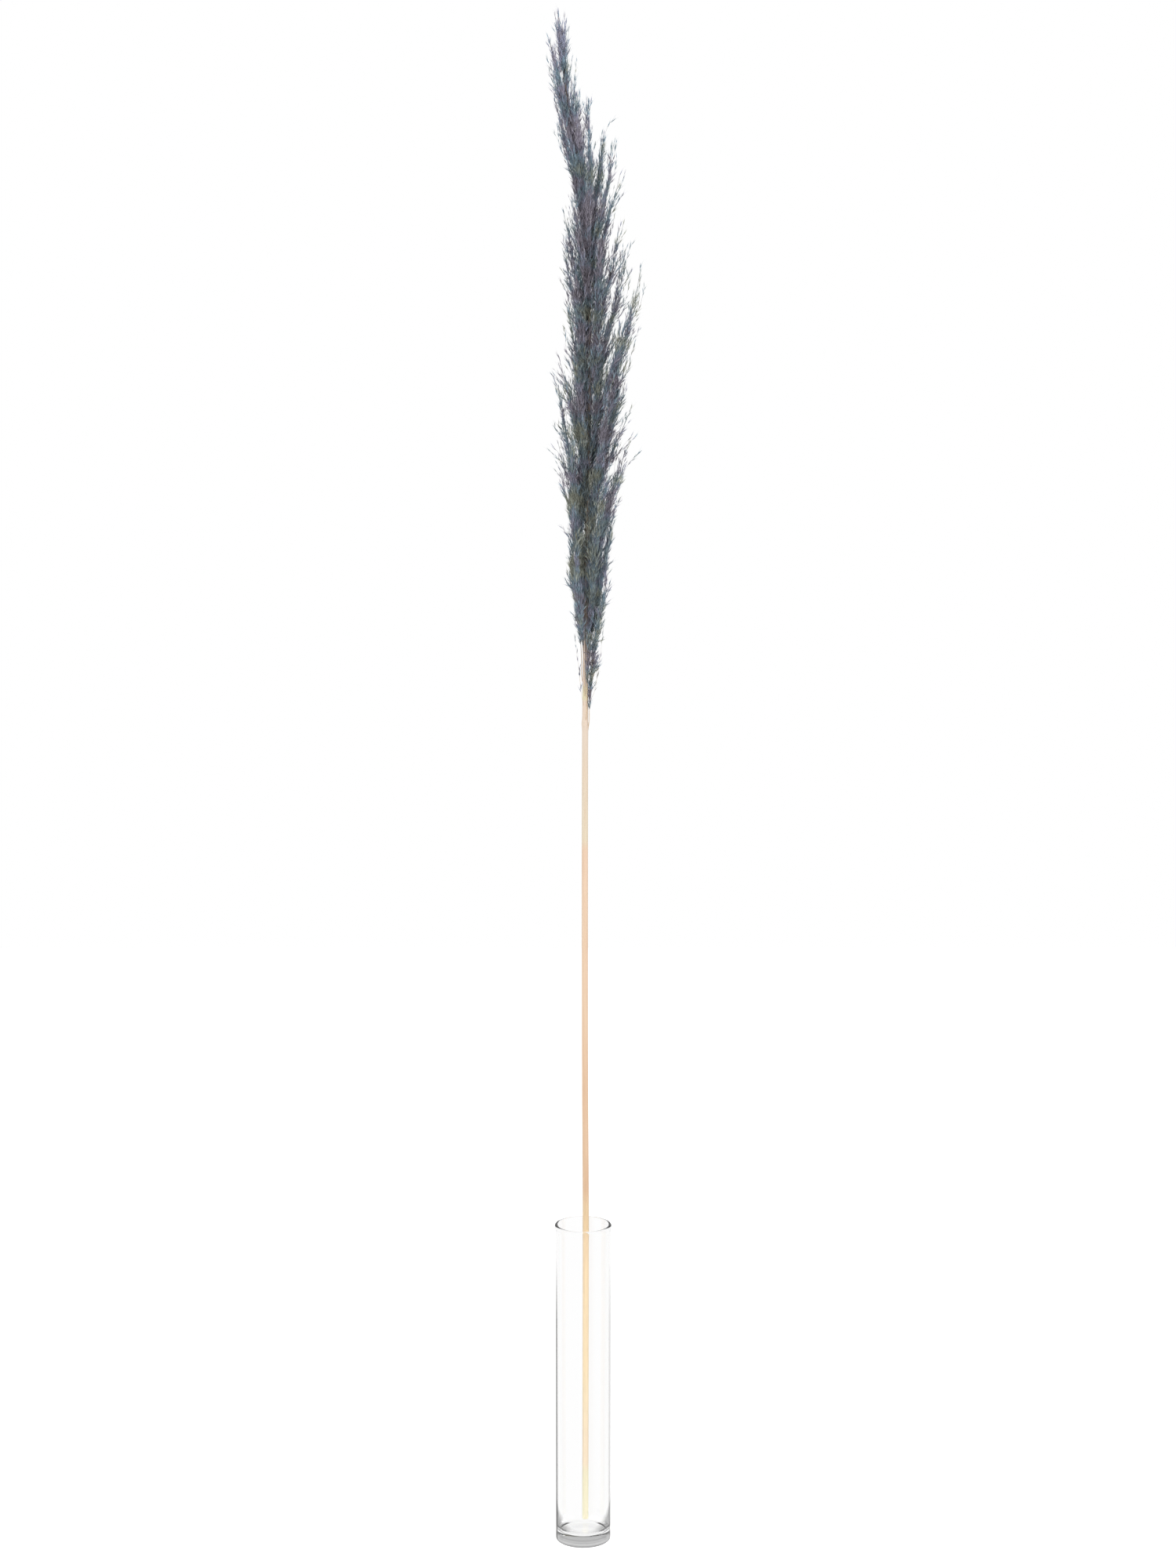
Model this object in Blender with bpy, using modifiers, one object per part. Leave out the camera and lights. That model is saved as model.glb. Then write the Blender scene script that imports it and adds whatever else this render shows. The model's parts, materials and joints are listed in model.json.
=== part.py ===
"""Dried pampas grass in a tall glass cylinder vase.

Metres, +Z up, +X to the right, -Y to the front. The origin is the centre of the vase's underside.
One tall stem stands at the back of the vase's floor and rests against its rim. Its upper
part, the rachis, carries the branches of the plume, which all sweep upwards.
"""
import math
import random

import bpy
from mathutils import Vector

# vase
VASE_HEIGHT = 0.400
VASE_RADIUS = 0.0335
WALL = 0.0033
FLOOR = 0.0130
BASE_EDGE = 0.0032          # radius of the rounded edge under the base
FLOOR_CORNER = 0.0090       # radius where the inner wall meets the floor
BEAD_OUT = 0.0008           # how far the fire-polished rim stands out
BEAD_IN = 0.0003
BEAD_DEPTH = 0.0060
VASE_STEPS = 40

# stem
STEM_TIP = 1.822
STEM_RADIUS = 0.0039
NECK_RADIUS = 0.0037        # at the lowest fork
TIP_RADIUS = 0.0006
LOWEST_FORK = 1.002
NODE_SWELL = 0.0004
SWELL_HALF = 0.006          # half the length of the swelling at the lowest fork
STEM_STEP = 0.040
FOOT_HEIGHT = 0.0170        # the foot rests on the rounded corner of the vase's floor

# plume
GAP = 0.0005                # clear space between neighbouring pieces
BRANCH_BASE = 0.0009        # radius of a branch where it leaves the stem
BRANCH_TIP = 0.0006
FATNESS = 0.0130            # fullest radius of a branch with its florets, per metre of length
FULLEST = 0.60              # where that is, as a share of the length
BRANCH_POINTS = 10
TWIST = 25                  # how far a branch may wind round the stem, in degrees
FILL_COUNT = 27             # branches to the front and the back
FILL_FORKS = (1.045, 1.765)     # lowest and highest of their forks
FILL_LENGTHS = (0.215, 0.048)
FILL_REACHES = (0.036, 0.007)
FILL_SPREAD = 35            # degrees to either side of straight front or back
FILL_JITTER = 12
FILL_SWEEPS = (0.9, 1.3)
LENGTH_FALL = 1.5           # how soon the branches get shorter and closer towards the top
REACH_FALL = 1.8
SEED = 69

# height, offset to the right and offset to the back of the stem's middle line
STEM_ROUTE = (
    (FOOT_HEIGHT, 0.0026, 0.0240),
    (0.200, 0.0030, 0.0247),
    (0.398, 0.0033, 0.0254),
    (0.560, 0.0024, 0.0279),
    (0.700, 0.0021, 0.0312),
    (1.000, 0.0026, 0.0385),
    (1.220, 0.0048, 0.0420),
    (1.400, 0.0078, 0.0445),
    (1.490, 0.0076, 0.0455),
    (1.580, 0.0036, 0.0465),
    (1.630, -0.0005, 0.0470),
    (1.680, -0.0090, 0.0475),
    (1.735, -0.0188, 0.0480),
    (1.785, -0.0256, 0.0485),
    (STEM_TIP, -0.0283, 0.0488),
)

# The branches that make the outline: height of the fork, height of the tip, how far the tip stands
# to the right and to the back of the stem, and the sweep: below 1 the branch swings out at once,
# above 1 it first follows the stem.
OUTLINE = (
    (1.004, 1.150, 0.017, -0.012, 1.5),
    (1.016, 1.140, 0.006, -0.013, 1.2),
    (1.030, 1.120, 0.021, 0.010, 0.6),
    (1.066, 1.190, 0.026, -0.004, 1.1),
    (1.100, 1.262, 0.032, 0.008, 1.0),
    (1.145, 1.305, 0.034, -0.008, 1.2),
    (1.180, 1.340, 0.041, 0.006, 1.1),
    (1.240, 1.378, 0.046, -0.002, 1.6),
    (1.290, 1.470, 0.044, 0.014, 0.9),
    (1.315, 1.525, 0.058, -0.003, 0.95),
    (1.350, 1.500, 0.050, -0.016, 1.0),
    (1.400, 1.560, 0.046, 0.006, 0.9),
    (1.440, 1.590, 0.044, -0.006, 1.2),
    (1.490, 1.645, 0.045, 0.003, 1.4),
    (1.525, 1.676, 0.043, -0.008, 1.3),
    (1.555, 1.694, 0.035, 0.008, 1.2),
    (1.590, 1.732, 0.024, -0.004, 1.1),
    (1.032, 1.105, -0.012, -0.008, 0.8),
    (1.058, 1.190, -0.018, 0.006, 1.5),
    (1.105, 1.240, -0.023, -0.006, 1.1),
    (1.150, 1.300, -0.030, 0.006, 1.2),
    (1.195, 1.338, -0.034, -0.005, 1.3),
    (1.240, 1.395, -0.035, 0.007, 1.1),
    (1.285, 1.432, -0.035, -0.006, 1.3),
    (1.350, 1.500, -0.028, 0.006, 1.1),
    (1.410, 1.560, -0.028, -0.006, 1.2),
    (1.460, 1.600, -0.025, 0.006, 1.0),
    (1.560, 1.690, -0.016, -0.005, 1.2),
    (1.605, 1.730, -0.015, 0.005, 1.0),
    (1.650, 1.765, -0.013, -0.003, 1.2),
    (1.695, 1.795, -0.012, 0.003, 1.1),
)


def clear_scene():
    for thing in list(bpy.data.objects):
        bpy.data.objects.remove(thing, do_unlink=True)


def new_collection(name):
    collection = bpy.data.collections.new(name)
    bpy.context.scene.collection.children.link(collection)
    return collection


def principled(name, colour, roughness, transmission=0.0):
    material = bpy.data.materials.new(name)
    material.use_nodes = True
    shader = material.node_tree.nodes["Principled BSDF"]
    shader.inputs["Base Color"].default_value = (*colour, 1.0)
    shader.inputs["Roughness"].default_value = roughness
    shader.inputs["Metallic"].default_value = 0.0
    shader.inputs["Transmission Weight"].default_value = transmission
    return material


def arc(centre_r, centre_z, radius, start, end, steps):
    """Points of an arc in the profile plane, as (radius, height); angles in degrees."""
    points = []
    for i in range(steps + 1):
        angle = math.radians(start + (end - start) * i / steps)
        points.append((centre_r + radius * math.cos(angle), centre_z + radius * math.sin(angle)))
    return points


def vase_profile():
    """From the top of the rim down the outside, under the base, and up the inside again."""
    inner = VASE_RADIUS - WALL
    lip_out = VASE_RADIUS + BEAD_OUT
    lip_in = inner - BEAD_IN
    lip = (lip_out - lip_in) / 2
    lip_middle = (lip_out + lip_in) / 2
    outside = arc(lip_middle, VASE_HEIGHT - lip, lip, 90, 0, 3)
    outside.append((VASE_RADIUS, VASE_HEIGHT - lip - BEAD_DEPTH))
    outside += arc(VASE_RADIUS - BASE_EDGE, BASE_EDGE, BASE_EDGE, 0, -90, 4)
    outside.append((0.0, 0.0))
    inside = [(0.0, FLOOR)]
    inside += arc(inner - FLOOR_CORNER, FLOOR + FLOOR_CORNER, FLOOR_CORNER, -90, 0, 4)
    inside.append((inner, VASE_HEIGHT - lip - BEAD_DEPTH))
    inside += arc(lip_middle, VASE_HEIGHT - lip, lip, 180, 90, 3)[:-1]
    return outside, inside


def make_vase(collection):
    outside, inside = vase_profile()
    points = outside + inside
    mesh = bpy.data.meshes.new("vase")
    edges = [(i, i + 1) for i in range(len(points) - 1) if i != len(outside) - 1]
    edges.append((len(points) - 1, 0))
    mesh.from_pydata([(r, 0.0, z) for r, z in points], edges, [])
    vase = bpy.data.objects.new("vase", mesh)
    vase.data.materials.append(principled("clear glass", (0.96, 0.98, 0.98), 0.02, 1.0))
    collection.objects.link(vase)
    turn = vase.modifiers.new("turned", "SCREW")
    turn.axis = "Z"
    turn.angle = 2 * math.pi
    turn.steps = VASE_STEPS
    turn.render_steps = VASE_STEPS
    turn.use_merge_vertices = True
    turn.merge_threshold = 0.00001
    turn.use_smooth_shade = True
    return vase


def between(table, height):
    """A smooth reading of a table of (height, value, ...) rows, as a Catmull-Rom curve."""
    last = len(table) - 1
    row = 0
    while row < last - 1 and height > table[row + 1][0]:
        row += 1
    before = table[max(row - 1, 0)]
    lower, upper = table[row], table[row + 1]
    after = table[min(row + 2, last)]
    span = upper[0] - lower[0]
    t = min(max((height - lower[0]) / span, 0.0), 1.0)
    values = []
    for k in range(1, len(lower)):
        slope_in = (upper[k] - before[k]) / (upper[0] - before[0]) * span
        slope_out = (after[k] - lower[k]) / (after[0] - lower[0]) * span
        values.append((2 * t**3 - 3 * t**2 + 1) * lower[k] + (t**3 - 2 * t**2 + t) * slope_in
                      + (3 * t**2 - 2 * t**3) * upper[k] + (t**3 - t**2) * slope_out)
    return values


def stem_centre(height):
    right, back = between(STEM_ROUTE, min(height, STEM_TIP))
    return Vector((right, back, height))


def stem_radius(height):
    """A slow taper below the lowest fork and a quicker one through the plume."""
    if height <= LOWEST_FORK:
        return STEM_RADIUS + (NECK_RADIUS - STEM_RADIUS) * height / LOWEST_FORK
    share = min((height - LOWEST_FORK) / (STEM_TIP - LOWEST_FORK), 1.0)
    return NECK_RADIUS + (TIP_RADIUS - NECK_RADIUS) * share


def tube(name, points, radii, resolution, material, collection):
    """A closed round tube along the points, with its own radius at each."""
    curve = bpy.data.curves.new(name, "CURVE")
    curve.dimensions = "3D"
    curve.bevel_depth = 1.0
    curve.bevel_resolution = resolution
    curve.use_fill_caps = True
    spline = curve.splines.new("POLY")
    spline.points.add(len(points) - 1)
    for spot, point, radius in zip(spline.points, points, radii):
        spot.co = (*point, 1.0)
        spot.radius = radius
    spline.use_smooth = True
    piece = bpy.data.objects.new(name, curve)
    piece.data.materials.append(material)
    collection.objects.link(piece)
    return piece


def make_stem(collection):
    foot = STEM_ROUTE[0][0]
    count = round((STEM_TIP - foot) / STEM_STEP)
    heights = [foot + (STEM_TIP - foot) * i / count for i in range(count + 1)]
    swell = [LOWEST_FORK - SWELL_HALF, LOWEST_FORK, LOWEST_FORK + SWELL_HALF]
    heights = sorted([h for h in heights if abs(h - LOWEST_FORK) > 2 * SWELL_HALF] + swell)
    points = [stem_centre(h) for h in heights]
    radii = [stem_radius(h) + (NODE_SWELL if h == LOWEST_FORK else 0.0) for h in heights]
    straw = principled("straw", (0.82, 0.56, 0.36), 0.55)
    return tube("stem", points, radii, 2, straw, collection)


def branch_points(fork, tip, right, back, sweep, twist):
    """A branch that leaves the stem beside its surface and winds slightly as it goes out."""
    reach = math.hypot(right, back)
    clear = stem_radius(fork) + NODE_SWELL + GAP + BRANCH_BASE
    points = []
    for i in range(BRANCH_POINTS):
        share = i / (BRANCH_POINTS - 1)
        out = clear + (reach - clear) * share ** sweep
        bearing = math.atan2(back, right) + twist * (1 - share)
        offset = Vector((math.cos(bearing), math.sin(bearing), 0.0)) * out
        points.append(stem_centre(fork + (tip - fork) * share) + offset)
    return points


def branch_radii(length):
    """Thin at the fork, fullest past the middle where the florets are, and thin at the tip."""
    fullest = FATNESS * length
    radii = []
    for i in range(BRANCH_POINTS):
        share = i / (BRANCH_POINTS - 1)
        if share < FULLEST:
            blend = math.sin(math.pi / 2 * share / FULLEST) ** 2
            radii.append(BRANCH_BASE + (fullest - BRANCH_BASE) * blend)
        else:
            blend = math.cos(math.pi / 2 * (share - FULLEST) / (1 - FULLEST))
            radii.append(BRANCH_TIP + (fullest - BRANCH_TIP) * blend)
    return radii


def fill_branches(chance):
    """The branches to the front and the back by turns, shorter towards the tip of the stem."""
    rows = []
    for i in range(FILL_COUNT):
        share = i / (FILL_COUNT - 1)
        fork = FILL_FORKS[0] + (FILL_FORKS[1] - FILL_FORKS[0]) * share
        length = FILL_LENGTHS[0] + (FILL_LENGTHS[1] - FILL_LENGTHS[0]) * share ** LENGTH_FALL
        reach = FILL_REACHES[0] + (FILL_REACHES[1] - FILL_REACHES[0]) * share ** REACH_FALL
        turned = FILL_SPREAD if i % 4 > 1 else -FILL_SPREAD
        jitter = chance.uniform(-FILL_JITTER, FILL_JITTER)
        bearing = math.radians((90 if i % 2 else -90) + turned + jitter)
        right = reach * math.cos(bearing)
        back = reach * math.sin(bearing)
        rows.append((fork, fork + length, right, back, chance.uniform(*FILL_SWEEPS)))
    return rows


def make_branches(collection):
    dyed = principled("dyed plume", (0.10, 0.12, 0.15), 0.85)
    chance = random.Random(SEED)
    rows = sorted(OUTLINE + tuple(fill_branches(chance)))
    for number, row in enumerate(rows, 1):
        twist = math.radians(chance.uniform(-TWIST, TWIST))
        points = branch_points(*row, twist)
        radii = branch_radii(row[1] - row[0])
        tube(f"plume_branch_{number:02d}", points, radii, 1, dyed, collection)


def main():
    clear_scene()
    collection = new_collection("pampas grass in vase")
    make_vase(collection)
    make_stem(collection)
    make_branches(collection)


main()
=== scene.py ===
import json
import math
import random

import bmesh
import bpy
import numpy as np
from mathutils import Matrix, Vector

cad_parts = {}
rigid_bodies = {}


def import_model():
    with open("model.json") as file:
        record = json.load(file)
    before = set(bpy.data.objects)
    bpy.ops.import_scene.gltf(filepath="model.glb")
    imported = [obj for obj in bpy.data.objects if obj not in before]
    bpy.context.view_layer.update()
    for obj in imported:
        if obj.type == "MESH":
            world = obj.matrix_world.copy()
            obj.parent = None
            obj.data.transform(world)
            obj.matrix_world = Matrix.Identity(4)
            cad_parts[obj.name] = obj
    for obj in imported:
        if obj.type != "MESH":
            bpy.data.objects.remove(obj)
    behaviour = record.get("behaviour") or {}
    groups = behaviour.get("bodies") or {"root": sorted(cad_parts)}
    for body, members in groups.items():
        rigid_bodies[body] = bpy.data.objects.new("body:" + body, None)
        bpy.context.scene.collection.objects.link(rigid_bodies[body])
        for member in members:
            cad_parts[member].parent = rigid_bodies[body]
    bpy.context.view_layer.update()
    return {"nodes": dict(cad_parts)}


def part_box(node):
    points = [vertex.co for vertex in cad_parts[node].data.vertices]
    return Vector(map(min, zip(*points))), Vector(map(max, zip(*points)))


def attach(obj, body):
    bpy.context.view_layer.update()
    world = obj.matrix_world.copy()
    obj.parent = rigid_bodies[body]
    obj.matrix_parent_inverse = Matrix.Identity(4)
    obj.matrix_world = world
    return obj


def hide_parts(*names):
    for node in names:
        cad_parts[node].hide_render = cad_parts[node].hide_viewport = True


for thing in list(bpy.data.objects):
    bpy.data.objects.remove(thing, do_unlink=True)
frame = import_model()
print("frame loaded:", len(frame["nodes"]), "nodes")


class Desk:  # a node tree that nodes are added to
    def __init__(self, tree):
        self.tree = tree

    def node(self, kind, settings=None, sockets=None, output=0):
        made = self.tree.nodes.new(kind)
        for name, value in (settings or {}).items():
            if name == "stops":
                self.fillRamp(made.color_ramp, value)
            else:
                setattr(made, name, value)
        for key, value in (sockets or {}).items():
            socket = pick(made.inputs, key)
            if isinstance(value, Wire):
                self.tree.links.new(value.socket, socket)
            elif isinstance(value, list):  # several wires into one socket
                for wire in value:
                    self.tree.links.new(wire.socket, socket)
            else:
                socket.default_value = value
        return Wire(pick(made.outputs, output), self) if len(made.outputs) else None

    def fillRamp(self, ramp, stops):
        while len(ramp.elements) < len(stops):
            ramp.elements.new(0.5)
        for element, (position, colour) in zip(ramp.elements, stops):
            element.position = position
            element.color = (*colour, 1.0)


class Wire:  # one output socket, so that node maths can be written as plain expressions
    def __init__(self, socket, desk):
        self.socket = socket
        self.desk = desk

    def other(self, name):  # another output of the same node
        return Wire(pick(self.socket.node.outputs, name), self.desk)

    def maths(self, operation, *terms):
        wires = [t for t in terms if isinstance(t, Wire)]
        wide = any(w.socket.type in ("VECTOR", "RGBA") for w in wires)
        kind = "ShaderNodeVectorMath" if wide else "ShaderNodeMath"
        spread = [(t, t, t) if wide and not isinstance(t, Wire) else t for t in terms]
        return self.desk.node(kind, {"operation": operation}, dict(enumerate(spread)))

    def __add__(self, term):
        return self.maths("ADD", self, term)

    def __radd__(self, term):
        return self.maths("ADD", term, self)

    def __sub__(self, term):
        return self.maths("SUBTRACT", self, term)

    def __rsub__(self, term):
        return self.maths("SUBTRACT", term, self)

    def __mul__(self, term):
        return self.maths("MULTIPLY", self, term)

    def __rmul__(self, term):
        return self.maths("MULTIPLY", term, self)

    def __truediv__(self, term):
        return self.maths("DIVIDE", self, term)

    def __rtruediv__(self, term):
        return self.maths("DIVIDE", term, self)

    def __pow__(self, term):
        return self.maths("POWER", self, term)

    def __gt__(self, term):
        return self.maths("GREATER_THAN", self, term)

    def __lt__(self, term):
        return self.maths("LESS_THAN", self, term)

    def floor(self):
        return self.maths("FLOOR", self)

    def clamped(self):
        return self.desk.node("ShaderNodeClamp", {}, {"Value": self})

    def between(self, low, high):  # 0 at low, 1 at high, held outside
        return ((self - low) / (high - low)).clamped()

    def parts(self):  # x, y and z of a vector
        split = self.desk.node("ShaderNodeSeparateXYZ", {}, {0: self})
        return split, split.other("Y"), split.other("Z")


def pick(sockets, key):
    if isinstance(key, int):
        return [s for s in sockets if s.enabled][key] if sockets[0].is_output else sockets[key]
    return next(s for s in sockets if s.name == key and s.enabled)


def mixed(desk, share, first, second, blend="MIX"):  # a colour between two
    full = [(*c, 1.0) if isinstance(c, tuple) else c for c in (first, second)]
    settings = {"data_type": "RGBA", "blend_type": blend}
    return desk.node("ShaderNodeMix", settings, {"Factor": share, 6: full[0], 7: full[1]})


def newMaterial(name):
    material = bpy.data.materials.new(name)
    material.use_nodes = True
    material.node_tree.nodes.clear()
    return material, Desk(material.node_tree)


def finished(desk, surface, volume=None):
    sockets = {"Surface": surface}
    if volume:
        sockets["Volume"] = volume
    desk.node("ShaderNodeOutputMaterial", {}, sockets)


# camera, on the object's front side, about at plume height and looking slightly down
camera = {"place": (0.0059, -4.0, 1.665), "tilt": 79.7, "lens": 79.4, "film": 36.0}
eye = bpy.data.cameras.new("frontCamera")
eye.sensor_fit = "VERTICAL"
eye.sensor_height = camera["film"]
eye.lens = camera["lens"]
eyeStand = bpy.data.objects.new("frontCamera", eye)
eyeStand.location = camera["place"]
eyeStand.rotation_euler = (math.radians(camera["tilt"]), 0.0, 0.0)
bpy.context.scene.collection.objects.link(eyeStand)
bpy.context.scene.camera = eyeStand
bpy.context.scene.view_settings.view_transform = "Standard"
print("camera placed")

# studio: a soft white room, one large soft lamp in front and above, a fainter one on the right
white = (1.0, 1.0, 1.0, 1.0)
studio = {
    "roomLight": 0.76,
    "ceilingFrom": (0.02, 0.90), "ceilingBack": (-0.1, 0.1), "ceilingDark": 0.92,
    "key": {"place": (-1.6, -2.6, 2.9), "size": 1.6, "power": 46.0},
    "side": {"place": (2.6, -1.2, 1.9), "size": 1.4, "power": 22.0},
    "aim": (0.0, 0.03, 1.1),
    "floorSize": 6.4, "floorDrop": 0.0004, "floorGrey": 0.9, "floorGlow": 0.55,
}


def makeRoom():  # white all round for the camera, with a darker ceiling at the back for the glass
    world = bpy.data.worlds.new("whiteRoom")
    world.use_nodes = True
    world.node_tree.nodes.clear()
    desk = Desk(world.node_tree)
    ray = desk.node("ShaderNodeLightPath")
    y, z = desk.node("ShaderNodeTexCoord", {}, {}, "Generated").parts()[1:]
    back = y.between(*studio["ceilingBack"])
    inGlass = 1.0 - z.between(*studio["ceilingFrom"]) * back * studio["ceilingDark"]
    glassy = ray.maths("MAXIMUM", ray.other("Is Glossy Ray"), ray.other("Is Transmission Ray"))
    strength = studio["roomLight"] + glassy * (inGlass - studio["roomLight"])
    strength = strength + ray * (1.0 - strength)
    sky = desk.node("ShaderNodeBackground", {}, {"Color": white, "Strength": strength})
    desk.node("ShaderNodeOutputWorld", {}, {"Surface": sky})
    bpy.context.scene.world = world


def makeLamp(name, place, size, power):
    lamp = bpy.data.lights.new(name, "AREA")
    lamp.shape = "SQUARE"
    lamp.size = size
    lamp.energy = power
    stand = bpy.data.objects.new(name, lamp)
    stand.location = place
    aim = Vector(studio["aim"]) - Vector(place)
    stand.rotation_euler = aim.to_track_quat("-Z", "Y").to_euler()
    bpy.context.scene.collection.objects.link(stand)
    stand.visible_glossy = False


def makeFloor():  # white for the camera and for the glass, and matt enough to keep the shadow
    bpy.ops.mesh.primitive_plane_add(size=studio["floorSize"], location=(0, 0, -studio["floorDrop"]))
    floor = bpy.context.object
    floor.name = "floor"
    material, desk = newMaterial("whiteFloor")
    ray = desk.node("ShaderNodeLightPath")
    grey = studio["floorGrey"]
    matt = desk.node("ShaderNodeBsdfDiffuse", {}, {"Color": (grey, grey, grey, 1.0)})
    glow = desk.node("ShaderNodeEmission", {}, {"Color": white, "Strength": studio["floorGlow"]})
    lifted = desk.node("ShaderNodeAddShader", {}, {0: matt, 1: glow})
    fullWhite = desk.node("ShaderNodeEmission", {}, {"Color": white, "Strength": 1.0})
    through = ray.maths("MAXIMUM", ray.other("Is Glossy Ray"), ray.other("Is Transmission Ray"))
    seen = desk.node("ShaderNodeMixShader", {}, {0: ray, 1: matt, 2: lifted})
    both = desk.node("ShaderNodeMixShader", {}, {0: through, 1: seen, 2: fullWhite})
    finished(desk, both)
    floor.data.materials.append(material)


makeRoom()
makeLamp("keyLamp", **studio["key"])
makeLamp("sideLamp", **studio["side"])
makeFloor()
print("studio lit")


cadSides = {"stem": 8, "branch": 6}  # sides of the CAD tubes
leftToRight = (-0.01, 0.01)  # the x over which left turns into right
quarterTurn = 1.5708
goldenTurn = 2.4  # radians from one side twig or floret to the next


def ringLine(node, sides):  # middle and radius of each ring of a CAD tube, from the lowest up
    spots = np.array([v.co for v in frame["nodes"][node].data.vertices])
    spots = np.unique(np.round(spots, 6), axis=0)
    spots = spots[np.argsort(spots[:, 2])].reshape(-1, sides, 3)
    middles = spots.mean(axis=1)
    radii = np.linalg.norm(spots - middles[:, None], axis=2).mean(axis=1)
    return middles, radii


def newPiece(name, mesh):
    piece = bpy.data.objects.new(name, mesh)
    bpy.context.scene.collection.objects.link(piece)
    return piece


def hand(piece, slot, *nodes):  # a finished piece takes the place of its CAD nodes
    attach(piece, "root")
    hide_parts(*nodes)


# vase: clear glass, turned, with a thick base, a rounded inner corner and a fire-polished rim
vase = {
    "wall": 0.0033, "floor": 0.0130, "floorCrown": 0.0004, "baseEdge": 0.0032, "innerCorner": 0.0090,
    "beadOut": 0.0008, "beadIn": 0.0003, "beadDepth": 0.0060, "beadTurns": (0.4, 0.8, 1.2),
    "steps": 160, "weld": 0.00001,
    "tint": (0.90, 0.903, 0.902), "density": 12.0, "ior": 1.45,  # a faint grey where it is thick
    # the painted shade lines at its sides, darker on the left than on the right: how far it faces away,
    # how strong, and between which heights
    "edge": (0.615, 0.745), "paintedEdgeShadeLeft": 0.85, "paintedEdgeShadeRight": 0.36, "paintedEdgeShadeHeights": (0.36, 0.28),
    # painted shade in the base: rings with the height, spread and strength of each, and a darker foot
    "paintedBaseShade": ((0.0100, 0.0010, 0.28), (0.0068, 0.0007, 0.16)), "foot": ((0.0010, 0.0044), 0.80),
    # the shaded inner corner: from which height, slope, how far it faces away, and strength
    "corner": (0.020, 20.0, (0.05, 0.30), 0.50),
}


def arc(centreR, centreZ, radius, start, end, steps):
    turns = [math.radians(start + (end - start) * i / steps) for i in range(steps + 1)]
    return [(centreR + radius * math.cos(t), centreZ + radius * math.sin(t)) for t in turns]


def vaseProfile():  # down the outside from the rim, under the base, and up the inside
    low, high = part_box("vase")
    lipOut = high.x
    outer = lipOut - vase["beadOut"]
    inner = outer - vase["wall"]
    lipIn = inner - vase["beadIn"]
    lip, middle = (lipOut - lipIn) / 2, (lipOut + lipIn) / 2
    neck = high.z - lip - vase["beadDepth"]

    def bead(side, swell, turns):  # the soft lower edge of the rim's bead
        return [(side + swell * math.cos(t) ** 2, high.z - lip - vase["beadDepth"] * t / quarterTurn)
                for t in turns]

    outside = arc(middle, high.z - lip, lip, 90, 0, 9)
    outside += bead(outer, vase["beadOut"], vase["beadTurns"]) + [(outer, neck)]
    outside += arc(outer - vase["baseEdge"], vase["baseEdge"], vase["baseEdge"], 0, -90, 8)
    outside.append((0.0, low.z))
    bottom, crown, corner = vase["floor"], vase["floorCrown"], vase["innerCorner"]
    inside = [(0.0, bottom + crown), (inner * 0.4, bottom + crown / 2)]
    inside += arc(inner - corner, bottom + corner, corner, -90, 0, 12)
    inside += [(inner, neck)] + bead(inner, -vase["beadIn"], vase["beadTurns"][::-1])
    inside += arc(middle, high.z - lip, lip, 180, 90, 9)[:-1]
    return outside, inside


def makeVase():
    outside, inside = vaseProfile()
    points = outside + inside
    edges = [(i, i + 1) for i in range(len(points) - 1) if i != len(outside) - 1]
    edges.append((len(points) - 1, 0))
    mesh = bpy.data.meshes.new("glassVase")
    mesh.from_pydata([(r, 0.0, z) for r, z in points], edges, [])
    piece = newPiece("glassVase", mesh)
    turn = piece.modifiers.new("turned", "SCREW")
    turn.steps = vase["steps"]
    turn.render_steps = vase["steps"]
    turn.use_merge_vertices = True
    turn.merge_threshold = vase["weld"]
    plain(piece)
    work = bmesh.new()
    work.from_mesh(piece.data)
    bmesh.ops.remove_doubles(work, verts=work.verts, dist=vase["weld"] / 2)
    bmesh.ops.recalc_face_normals(work, faces=work.faces)
    work.to_mesh(piece.data)
    work.free()
    piece.data.shade_smooth()
    piece.data.materials.clear()
    piece.data.materials.append(glassMaterial())
    piece.visible_shadow = False
    hand(piece, "glass", "vase")


def plain(piece):  # the evaluated shape as the piece's own mesh, with no modifier left
    graph = bpy.context.evaluated_depsgraph_get()
    solid = piece.evaluated_get(graph)
    mesh = bpy.data.meshes.new_from_object(solid, preserve_all_data_layers=True, depsgraph=graph)
    piece.modifiers.clear()
    piece.data = mesh
    mesh.name = piece.name


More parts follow.
